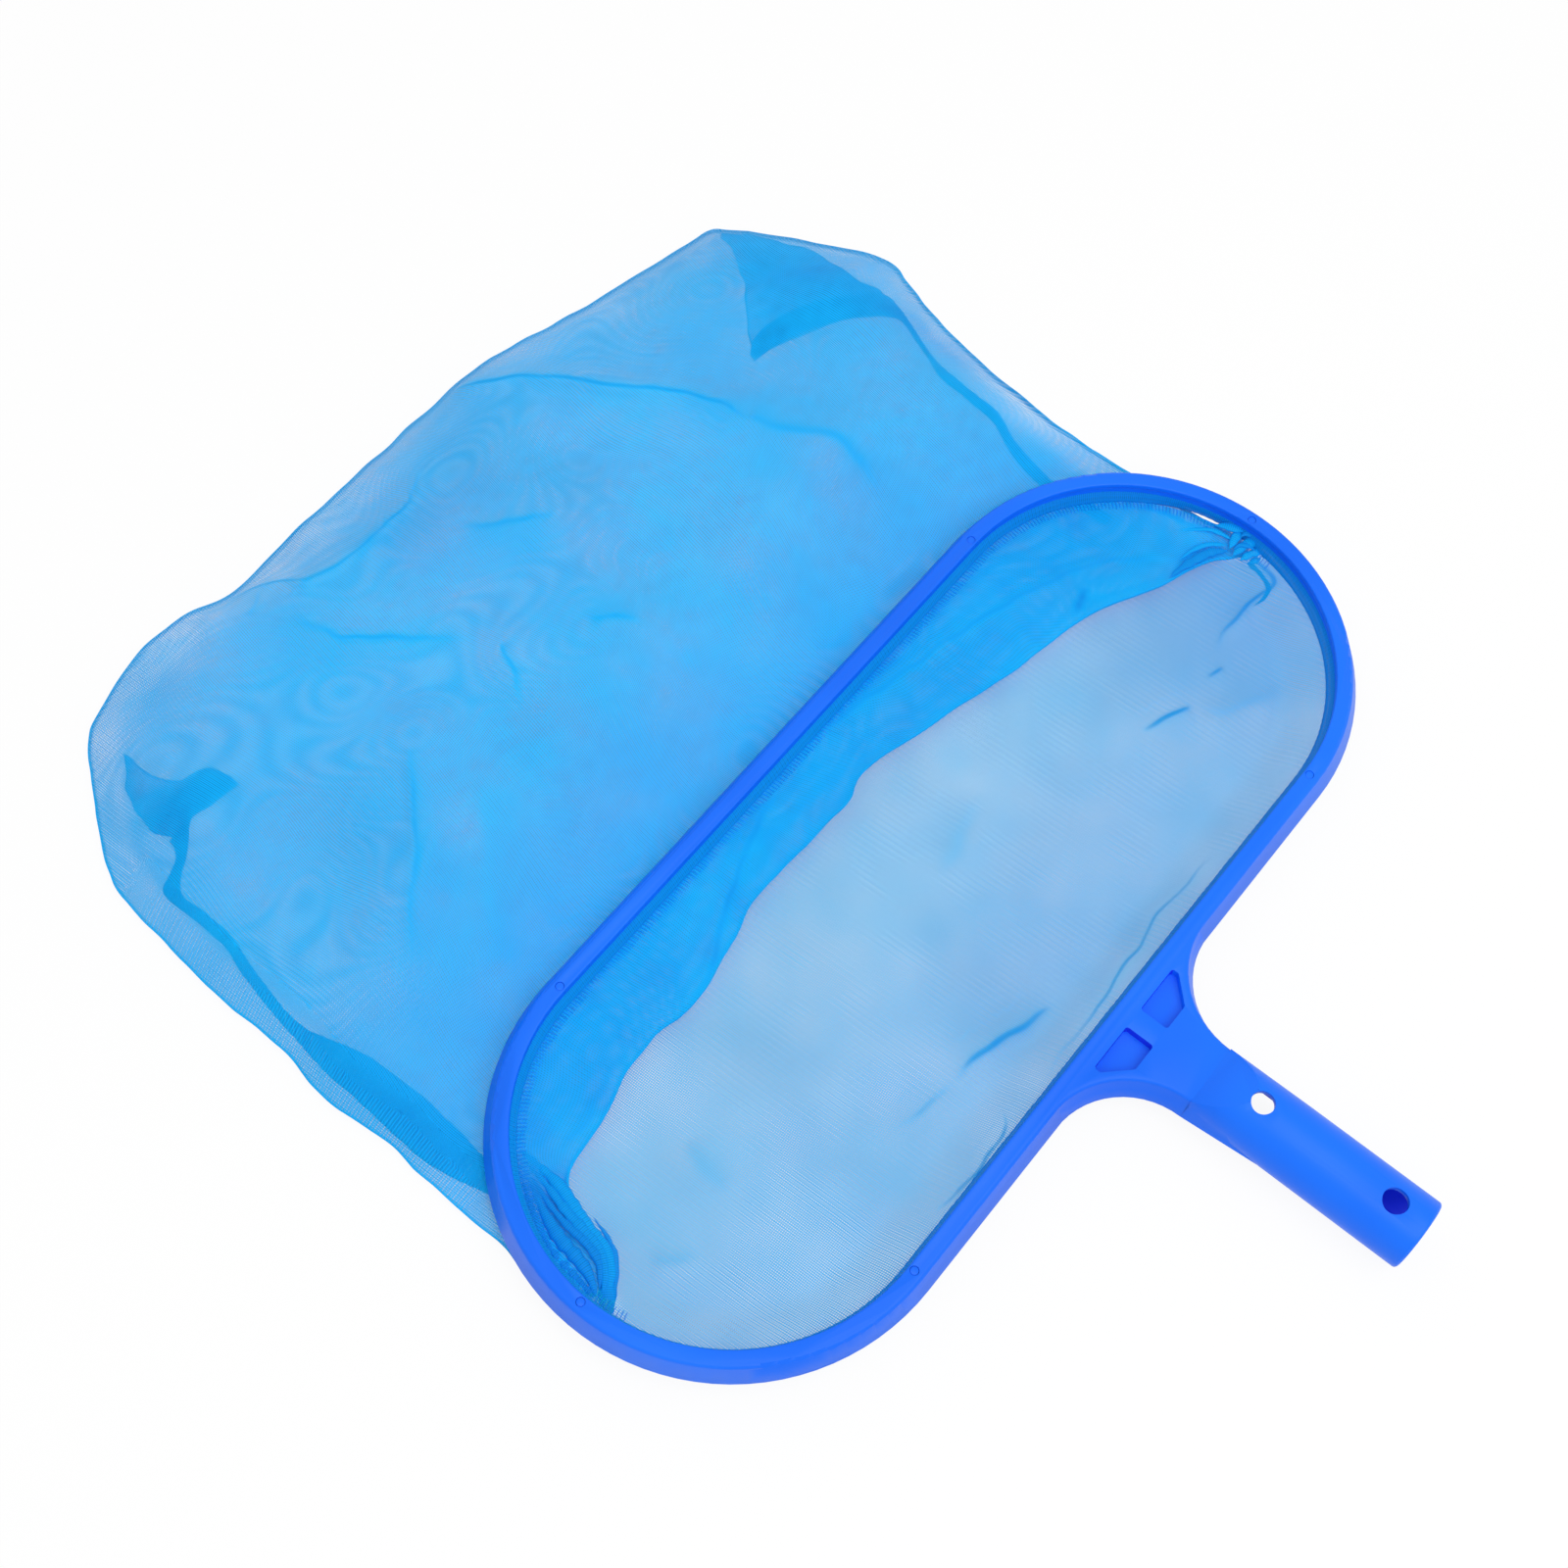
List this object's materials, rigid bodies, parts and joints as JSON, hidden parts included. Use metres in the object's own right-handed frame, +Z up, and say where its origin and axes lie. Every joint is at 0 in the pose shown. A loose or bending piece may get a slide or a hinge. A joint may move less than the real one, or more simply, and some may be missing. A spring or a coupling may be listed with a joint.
{
  "type": "leaf skimmer net",
  "caption": "Wide oval pool skimmer frame with a short tubular pole handle and a soft fine-mesh bag, lying mouth up.",
  "frame": {"origin": "middle of the part's footprint on the floor", "axes": "+Z up out of the mouth, -Y along the handle towards its free end, +Y towards the bag's far edge, +X along the long bars"},
  "size_m": [0.437, 0.521, 0.0412],
  "materials": {
    "blue_plastic": "satin blue moulded polypropylene",
    "net": "fine open blue mesh, seen through",
    "doubled_net": "folded layers of the same mesh",
    "thread": "blue sewing thread"
  },
  "bodies": {
    "root": {"frame": "blue_plastic", "hoop": "blue_plastic", "hem_sleeve": "doubled_net", "hem_thread": "thread", "net_upper": "net", "net_lower": "net", "seam_left": "doubled_net", "seam_right": "doubled_net", "seam_thread_left": "thread", "seam_thread_right": "thread", "corner_fold_left": "doubled_net", "corner_fold_right": "doubled_net", "gather_left": "doubled_net", "gather_right": "doubled_net"}
  },
  "joints": []
}
